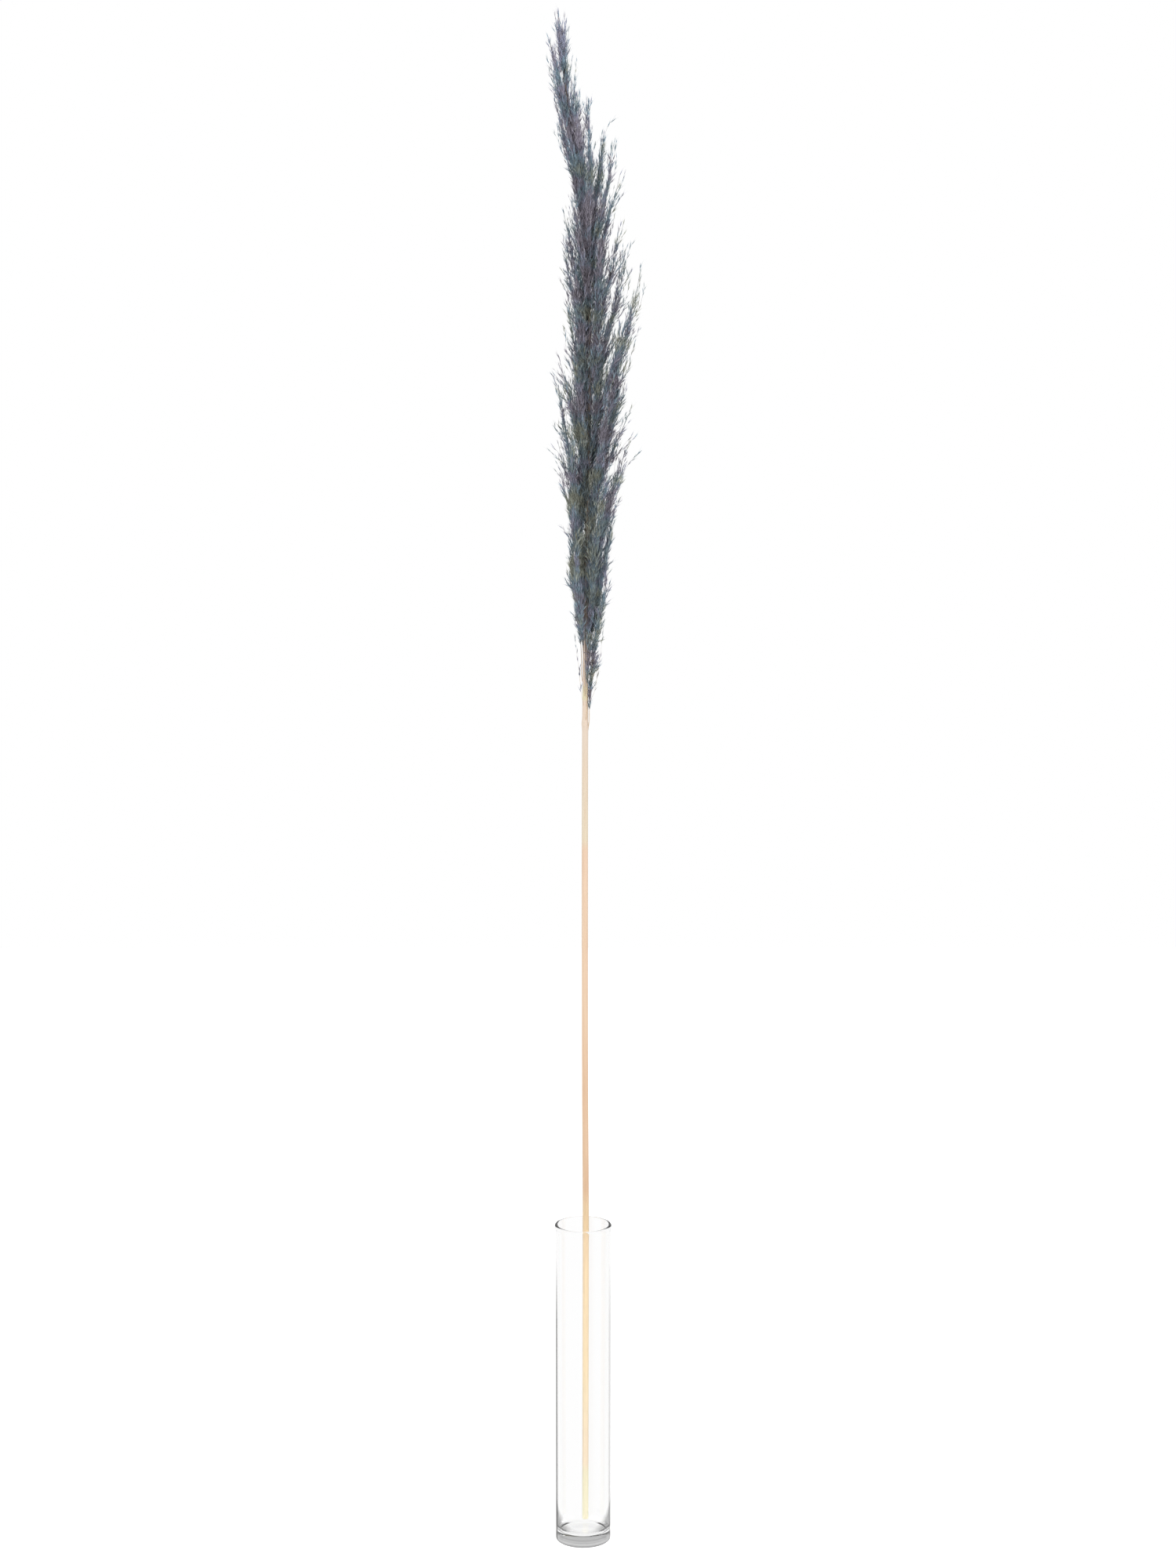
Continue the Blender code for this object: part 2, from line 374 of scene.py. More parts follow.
def glassMaterial():  # clear, with painted shade for the thin grey lines that thick glass shows at its edges and base
    material, desk = newMaterial("clearGlass")
    x, y, z = desk.node("ShaderNodeTexCoord", {}, {}, "Object").parts()
    facing = desk.node("ShaderNodeLayerWeight", {}, {"Blend": 0.5}, "Facing")
    entering = 1.0 - desk.node("ShaderNodeNewGeometry", {}, {}, "Backfacing")
    outside = x * x + y * y > (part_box("vase")[1].x - vase["wall"] / 2) ** 2
    # painted shade: grey lines where the glass faces away, stronger on the left than on the right
    line = facing.between(*vase["edge"]) * z.between(*vase["paintedEdgeShadeHeights"])
    right = x.between(*leftToRight)
    line = line * (vase["paintedEdgeShadeLeft"] + right * (vase["paintedEdgeShadeRight"] - vase["paintedEdgeShadeLeft"]))
    # painted shade: grey in the inner corner, a darker foot and grey rings in the base
    low, slope, width, depth = vase["corner"]
    corner = (facing - (z - low) * slope).between(*width) * (z > low) * depth
    paintedBaseShade = (1.0 - z.between(*vase["foot"][0])) * vase["foot"][1]
    for height, spread, strength in vase["paintedBaseShade"]:
        away = (z - height) / spread
        paintedBaseShade = paintedBaseShade + strength / (1.0 + away * away)
    paintedBaseShade = paintedBaseShade * (z < low)
    clear = (1.0 - (line + (corner + paintedBaseShade) * entering) * outside).clamped() ** 2.0
    pale = desk.node("ShaderNodeCombineXYZ", {}, {"X": clear, "Y": clear, "Z": clear})
    surface = desk.node("ShaderNodeBsdfPrincipled", {}, {
        "Base Color": pale, "Roughness": 0.0, "IOR": vase["ior"], "Transmission Weight": 1.0})
    inside = desk.node("ShaderNodeVolumeAbsorption", {}, {
        "Color": (*vase["tint"], 1.0), "Density": vase["density"]})
    finished(desk, surface, inside)
    return material


makeVase()
print("vase turned")

# stem: a smooth straw-coloured culm, with a collar at the lowest fork
stem = {  # reach smooths its line, and the ripple keeps it from being a plain round rod
    "sides": 20, "step": 0.003, "reach": 0.02, "sharp": 50,
    "ripple": 0.012, "ripples": 3, "rippleTwist": 9,
    "fork": 1.002, "collarRise": 0.00045, "collarLength": 0.0035, "collarSlant": 0.0028,
    "thinFrom": 1.770, "thinBy": 0.65,
}
straw = {  # fibre and cloud: where in the noise, how strong, and the colour
    "fibreScale": (900.0, 900.0, 14.0), "fibre": ((0.35, 0.7), 0.35, (0.62, 0.40, 0.24)),
    "cloudScale": (60.0, 60.0, 7.0), "cloud": ((0.45, 0.75), 0.35, (0.90, 0.74, 0.55)),
    "height": 1.05, "tones": [  # from the foot to the plume
        # below the vase's rim these tones are the straw's own colour made paler, painted light that
        # makes up for the glass's shade
        (0.0, (0.95, 0.93, 0.68)), (0.075, (0.91, 0.89, 0.60)), (0.085, (0.95, 0.80, 0.58)),
        (0.20, (0.95, 0.77, 0.48)), (0.375, (0.92, 0.69, 0.42)), (0.395, (0.85, 0.63, 0.39)),
        (0.415, (0.73, 0.485, 0.31)), (0.60, (0.76, 0.53, 0.365)), (0.812, (0.79, 0.58, 0.43)),
        (0.822, (0.74, 0.64, 0.48)), (1.0, (0.73, 0.615, 0.54))],
    "olive": ((1.030, 1.034), (1.046, 1.052), 0.75, (0.68, 0.63, 0.40)),  # a band below the plume
    "stain": ((1.046, 1.060), 0.45, (1.085, 1.13), 0.55, (0.15, 0.11, 0.08)),  # the plume's dye
    "stainStreaks": ((1.046, 1.056), 3.0), "grain": (0.25, 0.0003), "roughness": (0.42, 0.25),
}


def stemReader():  # middle and radius of the stem at any height
    middles, radii = ringLine("stem", cadSides["stem"])
    heights = middles[:, 2]

    def at(height):
        x, y = (np.interp(height, heights, middles[:, k]) for k in (0, 1))
        return Vector((x, y, height)), float(np.interp(height, heights, radii))
    return at, heights[0], heights[-1]


stemAt, stemFoot, stemTip = stemReader()


def softMiddle(height):  # the stem's middle line, smoothed over a short reach
    spots = [min(max(height + d, stemFoot), stemTip) for d in (-stem["reach"], 0, stem["reach"])]
    middle = sum((stemAt(spot)[0] for spot in spots), Vector()) / 3
    middle.z = height
    return middle


def makeStem():
    count = round((stemTip - stemFoot) / stem["step"])
    heights = [stemFoot + (stemTip - stemFoot) * i / count for i in range(count + 1)]
    work = bmesh.new()
    rings = []
    for height in heights:
        middle = softMiddle(height)
        thinned = max(0.0, (height - stem["thinFrom"]) / (stemTip - stem["thinFrom"]))
        radius = stemAt(height)[1] * (1 - stem["thinBy"] * thinned)
        ring = []
        for i in range(stem["sides"]):
            turn = 2 * math.pi * i / stem["sides"]
            collar = height - stem["fork"] + stem["collarSlant"] * math.cos(turn)
            swell = stem["collarRise"] * math.exp(-(collar / stem["collarLength"]) ** 2)
            ripple = stem["ripple"] * math.cos(stem["ripples"] * turn + height * stem["rippleTwist"])
            out = Vector((math.cos(turn), math.sin(turn), 0))
            ring.append(work.verts.new(middle + out * (radius * (1 + ripple) + swell)))
        rings.append(ring)
    for lower, upper in zip(rings, rings[1:]):
        for i in range(stem["sides"]):
            j = (i + 1) % stem["sides"]
            work.faces.new((lower[i], lower[j], upper[j], upper[i]))
    work.faces.new(reversed(rings[0]))
    work.faces.new(rings[-1])
    mesh = bpy.data.meshes.new("strawStem")
    work.to_mesh(mesh)
    work.free()
    mesh.shade_smooth()
    mesh.set_sharp_from_angle(angle=math.radians(stem["sharp"]))
    piece = newPiece("strawStem", mesh)
    mesh.materials.append(strawMaterial())
    hand(piece, "straw", "stem")


def strawMaterial():
    material, desk = newMaterial("dryStraw")
    place = desk.node("ShaderNodeTexCoord", {}, {}, "Object")
    z = place.parts()[2]

    def drawn(scale, detail):  # noise that is drawn out along the stem
        along = desk.node("ShaderNodeMapping", {}, {"Vector": place, "Scale": scale})
        return desk.node("ShaderNodeTexNoise", {}, {"Vector": along, "Scale": 1.0, "Detail": detail})

    fibre = drawn(straw["fibreScale"], 3.0)
    cloud = drawn(straw["cloudScale"], 2.0)
    tone = desk.node("ShaderNodeValToRGB", {"stops": straw["tones"]}, {"Fac": z / straw["height"]})
    reach, strength, colour = straw["fibre"]
    streaked = mixed(desk, fibre.between(*reach) * strength, tone, colour)
    reach, strength, colour = straw["cloud"]
    clouded = mixed(desk, cloud.between(*reach) * strength, streaked, colour)
    rise, fall, strength, colour = straw["olive"]
    olive = z.between(*rise) * (1.0 - z.between(*fall)) * strength
    banded = mixed(desk, olive, clouded, colour)
    reach, strength = straw["stainStreaks"]
    streaks = (fibre - 0.5) * z.between(*reach) * strength
    first, firstShare, second, secondShare, colour = straw["stain"]
    stain = z.between(*first) * firstShare + z.between(*second) * secondShare + streaks
    dyed = mixed(desk, stain.clamped(), banded, colour)
    strength, distance = straw["grain"]
    grain = desk.node("ShaderNodeBump", {}, {"Height": fibre, "Strength": strength,
                                             "Distance": distance})
    least, more = straw["roughness"]
    surface = desk.node("ShaderNodeBsdfPrincipled", {}, {
        "Base Color": dyed, "Roughness": least + fibre * more, "Normal": grain,
        "Sheen Weight": 0.5, "Sheen Roughness": 0.35})
    finished(desk, surface)
    return material


makeStem()
print("stem grown")

# plume: one spray of florets for each branch, with a whorl of small twigs round its fork
# a pair of rows is heights and the value at each, read at the height of the branch's fork
spray = {
    # the branch's own line
    "root": 0.018,  # how far below its fork it starts, inside the stem
    "axisStep": 0.004, "wander": 0.0035, "waveScale": 16.0,
    "clothed": ((1.004, 1.016, 1.032, 1.045, 1.058, 1.066, 1.156, 1.771),
                (1.020, 1.052, 1.042, 1.098, 1.096, 1.080, 1.155, 1.768)),  # bare below this
    "fuller": ((1.24, 1.31), (1.36, 1.41), (0.10, 0.15)),  # bulge: rise, fall, left and right
    "spikeFrom": 1.740, "spikePoints": 5,  # the stem's tip, which the top branch clothes too
    "halfWidth": 0.028, "mostAside": 1.3,
    # sprigs, its side twigs
    "sprigLength": 0.050, "sprigGrowth": (0.45, 2.6),  # times the second for a metre of branch
    "sprigTaper": (0.70, 0.30), "sprigChance": (0.40, 1.1), "sprigPoints": 6,
    "longSprigs": (0.97, 0.5),  # past which chance one is longer, and by how much
    "sprigLean": ((1.0, 1.12, 1.18, 1.3, 1.5, 1.62), (0.26, 0.36, 0.48, 0.64, 0.53, 0.24)),
    "leastSprigLean": 0.03, "leanGrowth": (0.65, 0.60), "sprigTurn": 0.6, "bow": 0.24,
    "curl": ((1.0, 1.5), (0.014, 0.007)), "eddyScale": 38.0,
    "sides": (-0.040, 0.064, 0.068), "pressed": 0.6,  # left, right and back, where tips are kept in
    # three kinds of spray: open is the part of the branch over which its sprigs thin out
    "usual": {"sprigStep": 0.0016, "thinning": 0.70, "open": (0.50, 0.90), "twig": 0.00048},
    "top": {"sprigStep": 0.0011, "thinning": 0.42, "open": (0.62, 0.76), "twig": 0.00048},
    "wisp": {"sprigStep": 0.030, "thinning": 0.0, "open": (0.50, 0.90), "twig": 0.000168},
    "wisps": {"plume_branch_03": 0.60, "plume_branch_04": 0.55},  # how many florets they lack
    # thickness of the twigs, how they taper, and where the dye reaches them
    "sprigTwig": 0.00014, "twigSides": 5, "sprigSides": 3, "twigTaper": (0.75, 0.65, 0.5),
    "twigDye": (1.06, 1.13),
    # the whorl's small twigs
    "whorl": 9, "whorlFrom": 1.092, "whorlLength": (0.035, 0.072), "whorlDepth": 0.75,
    "whorlTurn": 0.3, "whorlStart": (-0.012, 0.002), "leastWhorlLean": 0.04,
    "whorlLean": ((1.0, 1.12, 1.18, 1.3, 1.5, 1.62), (0.16, 0.20, 0.34, 0.62, 0.38, 0.11)),
    "whorlFoot": 0.0015, "whorlBow": 0.35, "whorlSteps": (0.0, 0.25, 0.6, 1.0),
    # florets on all of them
    "floretStep": 0.0032, "floretLength": 0.0078, "floretChance": (0.65, 1.25),
    "floretLean": ((1.0, 1.2, 1.5, 1.65), (0.46, 0.58, 0.52, 0.50)),
    "leastFloretLean": 0.04, "tipLean": 0.4, "floretTurn": 0.8, "stout": (0.75, 1.20, 0.25),
    "thinned": (0.25, 0.75),  # how much of the thinning is towards a sprig's and the branch's tip
    # the florets' colours
    # tone by height: the palest tone at the top is partly painted light, for the white backdrop shining
    # through the thin tips
    "tone": ((1.0, 1.13, 1.22, 1.35, 1.55, 1.75), (0.62, 0.54, 0.40, 0.37, 0.49, 1.00)),
    # painted light: the first entry darkens the florets in the plume's core as painted shade, and the
    # third pales those far out at the sides as painted backlight
    "coreShadeTone": (0.10, 0.7, 0.4), "toneCloud": 0.8, "backlitTone": (0.34, 0.45), "toneAlong": 0.08,
    "toneChance": (-0.28, 0.20), "bright": (0.80, 0.34),  # past which chance one is paler
    "tint": ((1.0, 1.15, 1.30, 1.50, 1.75), (3.1, 2.6, 1.8, 1.3, 1.2)), "tintChance": 0.4,
    "blush": ((1.0, 1.15, 1.30, 1.50, 1.75), (12.0, 16.0, 16.0, 13.5, 8.0)), "cloudScale": 38.0,
    # painted backlight: the hue toward teal that florets far out at the sides take
    "backlitTint": 2.4, "toneTint": 2.2, "hueChance": 0.4,
    "seed": 300, "seedStep": 100,
}
floret = {"width": 0.064, "depth": 0.043, "belly": 0.46, "bend": 0.08, "sides": 4, "kinds": 4,
          "bristles": 2, "bristleWidth": 0.016, "bristleSides": 3, "bristleLean": (0.08, 0.35),
          "bristleFoot": (0.05, 0.30), "bristleLength": (0.90, 1.40), "bristleTurn": 0.7, "seed": 40}
# the bake map, a row of cells: five hues of 12 tones, then the twigs
cells = {"across": 64, "tones": 12, "hues": 5, "twigs": 62, "inset": 0.2, "wide": 0.6, "twigWide": 1.6}
dye = {  # tones from dark to pale, and hues from rose over mauve, teal and green to brown
    "tones": [(0.0, (0.034, 0.035, 0.040)), (0.30, (0.062, 0.071, 0.079)),
              (0.60, (0.129, 0.148, 0.173)), (1.0, (0.328, 0.375, 0.455))],
    "hues": [(0.0, (1.16, 0.95, 0.96)), (0.25, (1.04, 0.97, 1.07)), (0.50, (0.84, 1.03, 1.05)),
             (0.75, (0.98, 1.04, 0.91)), (1.0, (1.20, 1.11, 0.78))],
    "tip": ((0.20, 0.62), 0.45, (0.24, 0.27, 0.315)),
    "bristle": (0.68, 0.75, (0.44, 0.49, 0.57)),
    "twig": ((0.15, 0.85), (0.66, 0.50, 0.34), (0.055, 0.055, 0.060)),
    "roughness": (0.62, 0.25), "specular": 0.35,
}


def spike(work, uv, foot, tip, belly, wide, deep, count, heights):  # closed, pointed at its tip
    axis = (tip - foot).normalized()
    side = axis.cross(Vector((0.3, 1.0, 0.1))).normalized()
    out = axis.cross(side)
    turns = [2 * math.pi * i / count for i in range(count)]
    centre = foot.lerp(tip, belly)
    ring = [work.verts.new(centre + side * math.cos(t) * wide + out * math.sin(t) * deep)
            for t in turns]
    low, middle, high = heights
    ends = [(work.verts.new(tip), middle, high, False)]
    if belly > 0:
        ends.append((work.verts.new(foot), middle, low, True))
    else:
        base = work.faces.new(ring[::-1])
        for loop, u in zip(base.loops, (0.0, 0.5, 1.0, 0.5)):
            loop[uv].uv = (u, middle + 0.02 * (u == 0.5))
    for end, near, far, flipped in ends:
        for i in range(count):
            j = (i + 1) % count
            corners = [(ring[i], i / count), (ring[j], (i + 1) / count)]
            if flipped:
                corners.reverse()
            face = work.faces.new((corners[0][0], corners[1][0], end))
            for loop, u, v in zip(face.loops, (corners[0][1], corners[1][1], 0.5), (near, near, far)):
                loop[uv].uv = (u, v)


def floretShape(number):  # one spindle with a few bristles, of length 1 along Z
    chance = random.Random(floret["seed"] + number)
    work = bmesh.new()
    uv = work.loops.layers.uv.new("OFBake")
    most = floret["bend"]
    bend = Vector((chance.uniform(-most, most), chance.uniform(-most, most), 1.0))
    spike(work, uv, Vector(), bend, floret["belly"], floret["width"], floret["depth"],
          floret["sides"], (0.0, 0.25, 0.62))
    for i in range(floret["bristles"]):
        turn = 2 * math.pi * (i + chance.random() * floret["bristleTurn"]) / floret["bristles"]
        lean = chance.uniform(*floret["bristleLean"])
        foot = Vector((0, 0, chance.uniform(*floret["bristleFoot"])))
        out = Vector((math.cos(turn) * math.sin(lean), math.sin(turn) * math.sin(lean), math.cos(lean)))
        tip = foot + out * chance.uniform(*floret["bristleLength"])
        spike(work, uv, foot, tip, 0.0, floret["bristleWidth"], floret["bristleWidth"],
              floret["bristleSides"], (0.72, 0.74, 0.98))
    mesh = bpy.data.meshes.new(f"floretKind{number}")
    work.to_mesh(mesh)
    work.free()
    thing = bpy.data.objects.new(mesh.name, mesh)
    bpy.context.scene.collection.objects.link(thing)
    return thing


def newTree(name, inputs):
    tree = bpy.data.node_groups.new(name, "GeometryNodeTree")
    tree.interface.new_socket("Geometry", in_out="INPUT", socket_type="NodeSocketGeometry")
    for label, kind in inputs.items():
        tree.interface.new_socket(label, in_out="INPUT", socket_type="NodeSocket" + kind)
    tree.interface.new_socket("Geometry", in_out="OUTPUT", socket_type="NodeSocketGeometry")
    desk = Desk(tree)
    return tree, desk, desk.node("NodeGroupInput")


def chanceOf(desk, low, high, seed, kind="FLOAT"):
    return desk.node("FunctionNodeRandomValue", {"data_type": kind},
                     {"Min": low, "Max": high, "Seed": seed})


def vectorOf(desk, x, y, z):
    return desk.node("ShaderNodeCombineXYZ", {}, {"X": x, "Y": y, "Z": z})


def named(desk, label, kind="FLOAT"):
    return desk.node("GeometryNodeInputNamedAttribute", {"data_type": kind}, {"Name": label})


def stored(desk, shape, label, value, kind="FLOAT", domain="POINT"):
    return desk.node("GeometryNodeStoreNamedAttribute", {"data_type": kind, "domain": domain},
                     {"Geometry": shape, "Name": label, "Value": value})


def moved(desk, shape, offset):
    return desk.node("GeometryNodeSetPosition", {}, {"Geometry": shape, "Offset": offset})


def joined(desk, *shapes):
    return desk.node("GeometryNodeJoinGeometry", {}, {"Geometry": list(shapes)})


def pointsOn(desk, curve, step):
    return desk.node("GeometryNodeCurveToPoints", {"mode": "LENGTH"}, {"Curve": curve, "Length": step})


def swirl(desk, place, seed, scale):  # a soft random push, from -0.5 to 0.5 in each direction
    noise = desk.node("ShaderNodeTexNoise", {"noise_dimensions": "4D"},
                      {"Vector": place, "W": seed, "Scale": scale, "Detail": 1.0}, "Color")
    return noise - 0.5


def aimed(desk, tangent, lean, turn):  # Z along the tangent, then turned about it and leant out
    upright = desk.node("FunctionNodeAlignRotationToVector", {"axis": "Z"}, {"Vector": tangent})
    tilt = desk.node("FunctionNodeEulerToRotation", {}, {"Euler": vectorOf(desk, lean, 0.0, turn)})
    return desk.node("FunctionNodeRotateRotation", {"rotation_space": "LOCAL"},
                     {"Rotation": upright, "Rotate By": tilt})


def tubeOf(desk, curve, radius, sides):  # a closed tube, with its way round kept for the map
    circle = desk.node("GeometryNodeCurvePrimitiveCircle", {"mode": "RADIUS"},
                       {"Resolution": sides, "Radius": 1.0})
    circle = stored(desk, circle, "round", desk.node("GeometryNodeSplineParameter"))
    return desk.node("GeometryNodeCurveToMesh", {}, {
        "Curve": curve, "Profile Curve": circle, "Scale": radius, "Fill Caps": True})


def growAxis(desk, given, factor, place):  # the branch wanders, and the plume bulges in its middle
    x, y, z = place.parts()
    path = desk.node("GeometryNodeMeshToCurve", {}, {"Mesh": given.other("Geometry")})
    path = desk.node("GeometryNodeCurveSplineType", {"spline_type": "CATMULL_ROM"}, {"Curve": path})
    path = desk.node("GeometryNodeResampleCurve", {"mode": "LENGTH"},
                     {"Curve": path, "Length": given.other("Axis step")})
    wave = swirl(desk, place, given.other("Seed"), spray["waveScale"])
    drift = wave * (factor * given.other("Wander") * 2.0)
    rise, fall, (left, right) = spray["fuller"]
    bulge = z.between(*rise) * (1.0 - z.between(*fall))
    bulge = bulge * (left + x.between(*leftToRight) * (right - left))
    axis = moved(desk, path, drift + vectorOf(desk, x * bulge, 0.0, 0.0))
    return stored(desk, axis, "share", factor)


def growSprigs(desk, given, factor, place, axis):  # short side twigs all the way round the branch
    seed = given.other("Seed")
    x, y = place.parts()[:2]
    index = desk.node("GeometryNodeInputIndex")
    share = named(desk, "share")
    spots = pointsOn(desk, axis, given.other("Sprig step"))
    steady, more = spray["sprigTaper"]
    long = given.other("Sprig length") * (steady + more * (1.0 - share ** 2.0))
    long = long * chanceOf(desk, *spray["sprigChance"], seed + 1)
    above, longer = spray["longSprigs"]
    long = long * (1.0 + longer * (chanceOf(desk, 0.0, 1.0, seed + 14) > above))
    opening = share.between(given.other("Open from"), given.other("Open to"))
    grown = share > given.other("Bare share") + named(desk, "whorl")
    grown = grown * (chanceOf(desk, 0.0, 1.0, seed + 15) > opening)
    low, high = given.other("Sprig lean low"), given.other("Sprig lean high")
    steady, more = spray["leanGrowth"]
    lean = low + (high - low) * chanceOf(desk, 0.0, 1.0, seed + 2) * (steady + more * share)
    turn = index * goldenTurn + chanceOf(desk, -spray["sprigTurn"], spray["sprigTurn"], seed + 3)
    line = desk.node("GeometryNodeCurvePrimitiveLine", {}, {"End": (0.0, 0.0, 1.0)})
    line = desk.node("GeometryNodeResampleCurve", {"mode": "COUNT"},
                     {"Curve": line, "Count": spray["sprigPoints"]})
    line = moved(desk, line, vectorOf(desk, 0.0, spray["bow"] * factor * factor, 0.0))
    sprigs = desk.node("GeometryNodeInstanceOnPoints", {}, {
        "Points": spots, "Selection": grown, "Instance": line,
        "Rotation": aimed(desk, spots.other("Tangent"), lean, turn), "Scale": long})
    sprigs = desk.node("GeometryNodeRealizeInstances", {}, {"Geometry": sprigs})
    curl = swirl(desk, place, seed, spray["eddyScale"]) * (factor * factor * given.other("Curl") * 2.0)
    sprigs = moved(desk, sprigs, curl)
    left, right, back = spray["sides"]
    beyond = x.maths("MAXIMUM", x - right, 0.0) + x.maths("MINIMUM", x - left, 0.0)
    behind = y.maths("MAXIMUM", y - back, 0.0)
    hold = -spray["pressed"]
    return moved(desk, sprigs, vectorOf(desk, beyond * hold, behind * hold, 0.0))


def growFlorets(desk, given, factor, place, axis, sprigs):  # on the sprigs and the branch's upper part
    seed = given.other("Seed")
    index = desk.node("GeometryNodeInputIndex")
    share = named(desk, "share")
    upper = desk.node("GeometryNodeTrimCurve", {"mode": "FACTOR"},
                      {"Curve": axis, "Start": given.other("Bare share")})
    carriers = stored(desk, joined(desk, upper, sprigs), "along", factor)
    seats = pointsOn(desk, carriers, given.other("Floret step"))
    along = named(desk, "along")
    lean = chanceOf(desk, given.other("Floret lean low"), given.other("Floret lean high"), seed + 4)
    lean = lean * (1.0 - spray["tipLean"] * along)
    turn = index * goldenTurn + chanceOf(desk, -spray["floretTurn"], spray["floretTurn"], seed + 5)
    long = given.other("Floret length") * chanceOf(desk, *spray["floretChance"], seed + 6)
    slim, fat, more = spray["stout"]
    stout = chanceOf(desk, slim, fat, seed + 12) + more * (1.0 - along)
    kinds = [desk.node("GeometryNodeObjectInfo", {}, {"Object": given.other(f"Floret {i + 1}"),
                                                     "As Instance": True}, "Geometry")
             for i in range(floret["kinds"])]
    bySprig, byBranch = spray["thinned"]
    thinned = given.other("Thinning") * (bySprig * along + byBranch * share * share)
    kept = chanceOf(desk, 0.0, 1.0, seed + 9) > given.other("Sparse") + thinned
    florets = desk.node("GeometryNodeInstanceOnPoints", {}, {
        "Points": seats, "Selection": kept, "Instance": joined(desk, *kinds), "Pick Instance": True,
        "Instance Index": chanceOf(desk, 0, floret["kinds"] - 1, seed + 7, "INT"),
        "Rotation": aimed(desk, seats.other("Tangent"), lean, turn),
        "Scale": vectorOf(desk, stout, stout, 1.0) * long})
    cell = floretCell(desk, given, place, share, along)
    florets = stored(desk, florets, "cell", cell, "FLOAT", "INSTANCE")
    florets = desk.node("GeometryNodeRealizeInstances", {}, {"Geometry": florets})
    u, v = named(desk, "OFBake", "FLOAT_VECTOR").parts()[:2]
    u = (named(desk, "cell") + cells["inset"] + cells["wide"] * u) / cells["across"]
    return stored(desk, florets, "OFBake", vectorOf(desk, u, v, 0.0), "FLOAT2", "CORNER")


def floretCell(desk, given, place, share, along):  # which hue and tone a floret takes from the map
    seed = given.other("Seed")
    # painted shade: florets low on the branch and on the whorl, in the plume's core, take darker tones
    paintedCoreShade, lessOnWhorl, moreOnSprig = spray["coreShadeTone"]
    outer = share * (1.0 - lessOnWhorl * named(desk, "whorl")) + moreOnSprig * along
    cloud = desk.node("ShaderNodeTexNoise", {},
                      {"Vector": place, "Scale": spray["cloudScale"], "Detail": 1.0}, "Color")
    dapple, blush = cloud.parts()[:2]
    above, brighter = spray["bright"]
    spread = chanceOf(desk, *spray["toneChance"], seed + 8)
    spread = spread + (chanceOf(desk, 0.0, 1.0, seed + 13) > above) * brighter
    # painted backlight: florets far out to the left or right take paler tones and a hue toward teal
    aside = named(desk, "aside")
    tone = given.other("Tone") + paintedCoreShade * outer + (dapple - 0.5) * spray["toneCloud"]
    strength, middle = spray["backlitTone"]
    tone = tone + strength * (aside - middle) + spray["toneAlong"] * along + spread
    hue = given.other("Tint") + (blush - 0.5) * given.other("Blush")
    hue = hue + (spray["backlitTint"] - given.other("Tint")) * aside.clamped()
    stray = chanceOf(desk, -spray["hueChance"], spray["hueChance"], seed + 10)
    hue = hue + spray["toneTint"] * spread + stray
    hue = desk.node("ShaderNodeClamp", {}, {"Value": hue, "Min": 0.0, "Max": cells["hues"] - 0.1})
    return hue.floor() * cells["tones"] + (tone.clamped() * (cells["tones"] - 1)).floor()


def twigTubes(desk, given, factor, place, axis, sprigs):  # bare straw low down, dyed further up
    byBranch, byWhorl, bySprig = spray["twigTaper"]
    stout = given.other("Twig radius") * (1.0 - byBranch * factor)
    stout = stout * (1.0 - byWhorl * named(desk, "whorl"))
    thick = tubeOf(desk, axis, stout, spray["twigSides"])
    slim = given.other("Sprig radius") * (1.0 - bySprig * factor)
    thin = tubeOf(desk, sprigs, slim, spray["sprigSides"])
    dyed = place.parts()[2].between(*spray["twigDye"])
    u = (cells["twigs"] + cells["inset"] + cells["twigWide"] * named(desk, "round")) / cells["across"]
    v = 0.02 + 0.96 * (dyed * 0.9 + 0.1 * named(desk, "share"))
    twigs = joined(desk, thick, thin)
    return stored(desk, twigs, "OFBake", vectorOf(desk, u, v, 0.0), "FLOAT2", "CORNER")


def sprayTree():
    numbers = ("Axis step", "Wander", "Bare share", "Sprig step", "Sprig length", "Sprig lean low",
               "Sprig lean high", "Curl", "Floret step", "Floret length", "Floret lean low",
               "Floret lean high", "Thinning", "Sparse", "Open from", "Open to", "Twig radius",
               "Sprig radius", "Tone", "Tint", "Blush")
    inputs = {label: "Float" for label in numbers}
    inputs |= {"Seed": "Int", "Material": "Material"}
    inputs |= {f"Floret {i + 1}": "Object" for i in range(floret["kinds"])}
    tree, desk, given = newTree("grassSpray", inputs)
    factor = desk.node("GeometryNodeSplineParameter")
    place = desk.node("GeometryNodeInputPosition")
    axis = growAxis(desk, given, factor, place)
    sprigs = growSprigs(desk, given, factor, place, axis)
    florets = growFlorets(desk, given, factor, place, axis, sprigs)
    whole = joined(desk, twigTubes(desk, given, factor, place, axis, sprigs), florets)
    for label in ("cell", "share", "along", "round", "whorl", "aside"):
        whole = desk.node("GeometryNodeRemoveAttribute", {}, {"Geometry": whole, "Name": label})
    whole = desk.node("GeometryNodeRealizeInstances", {}, {"Geometry": whole})
    whole = desk.node("GeometryNodeSetMaterial", {},
                      {"Geometry": whole, "Material": given.other("Material")})
    desk.node("NodeGroupOutput", {}, {"Geometry": whole})
    return tree


